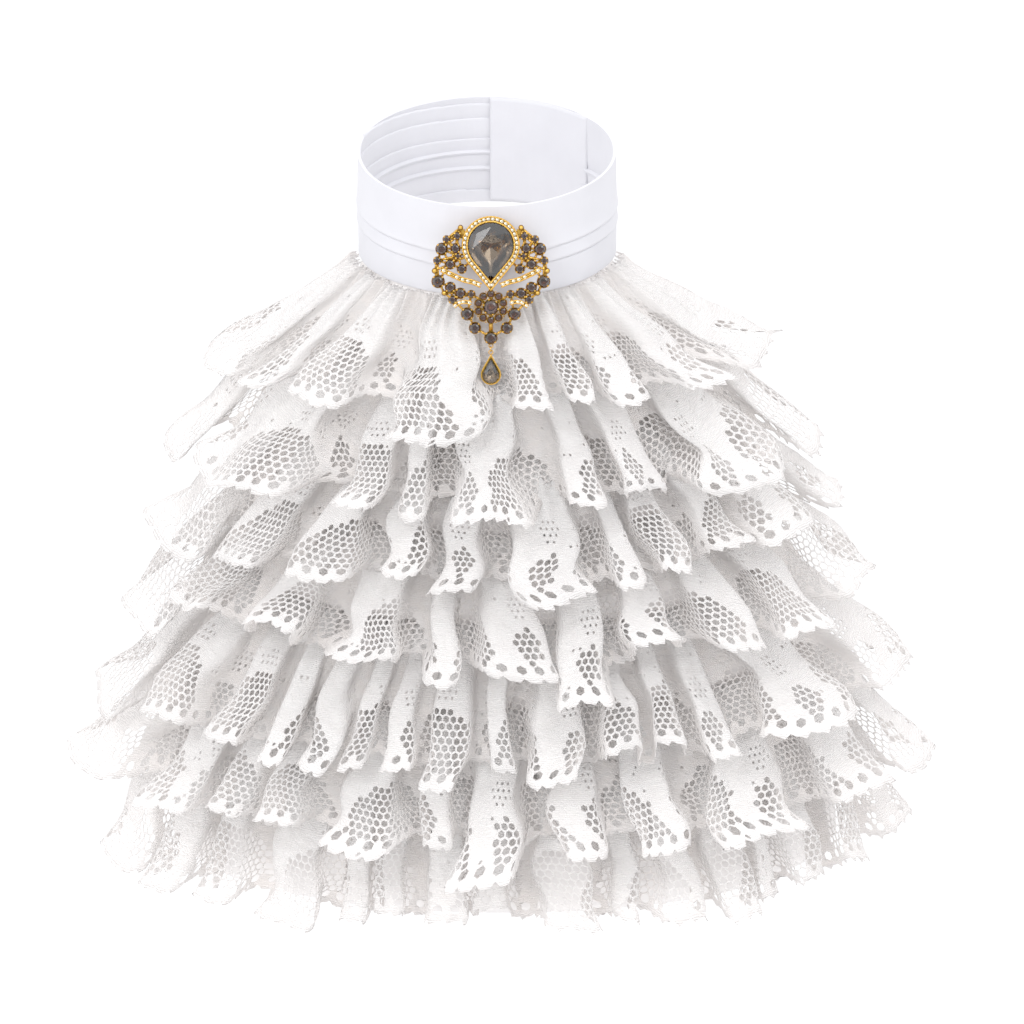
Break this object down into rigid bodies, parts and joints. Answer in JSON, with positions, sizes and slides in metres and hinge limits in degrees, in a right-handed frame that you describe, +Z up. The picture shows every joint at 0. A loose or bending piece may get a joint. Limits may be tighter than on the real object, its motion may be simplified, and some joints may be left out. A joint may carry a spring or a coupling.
{
  "type": "lace jabot",
  "caption": "Tiered lace jabot: a leaning stand collar with a back closure, gathered scalloped lace tiers on a plain panel, and a gilt brooch with a teardrop stone and a drop.",
  "frame": {"origin": "centre of the collar's bottom ring, where the collar sits round the neck", "axes": "+Z up, -Y towards the front of the wearer, +X towards a facing viewer's right"},
  "size_m": [0.3923, 0.1936, 0.3611],
  "materials": {
    "collar_cloth": "stiffened white cotton band cloth, plain weave, pressed tucks",
    "panel_cloth": "plain white cotton cloth",
    "lace": "white raschel lace with hexagonal net, solid petals and a scalloped eyelet edge",
    "gilt_metal": "cast zinc, antique gold plate",
    "brown_glass": "foil-backed smoky brown cut glass",
    "smoke_glass": "foil-backed smoky topaz cut glass"
  },
  "bodies": {
    "root": {"collar_band": "collar_cloth", "closure_tab": "collar_cloth", "bib_panel": "panel_cloth", "lace_tier_1": "lace", "lace_tier_2": "lace", "lace_tier_3": "lace", "lace_tier_4": "lace", "lace_tier_5": "lace", "lace_tier_6": "lace", "lace_tier_7": "lace", "brooch_frame": "gilt_metal", "brooch_pin": "gilt_metal", "stone_pear": "smoke_glass", "stone_left_1": "brown_glass", "stone_left_2": "brown_glass", "stone_left_3": "brown_glass", "stone_left_4": "brown_glass", "stone_left_5": "brown_glass", "stone_left_6": "brown_glass", "stone_left_7": "brown_glass", "stone_left_8": "brown_glass", "stone_left_9": "brown_glass", "stone_left_10": "brown_glass", "stone_left_11": "brown_glass", "stone_left_12": "brown_glass", "stone_left_13": "brown_glass", "stone_left_14": "brown_glass", "stone_left_15": "brown_glass", "stone_right_1": "brown_glass", "stone_right_2": "brown_glass", "stone_right_3": "brown_glass", "stone_right_4": "brown_glass", "stone_right_5": "brown_glass", "stone_right_6": "brown_glass", "stone_right_7": "brown_glass", "stone_right_8": "brown_glass", "stone_right_9": "brown_glass", "stone_right_10": "brown_glass", "stone_right_11": "brown_glass", "stone_right_12": "brown_glass", "stone_right_13": "brown_glass", "stone_right_14": "brown_glass", "stone_right_15": "brown_glass", "stone_bottom": "brown_glass", "brooch_flower": "brown_glass", "drop_link": "gilt_metal", "drop_setting": "gilt_metal", "drop_stone": "smoke_glass"}
  },
  "joints": []
}
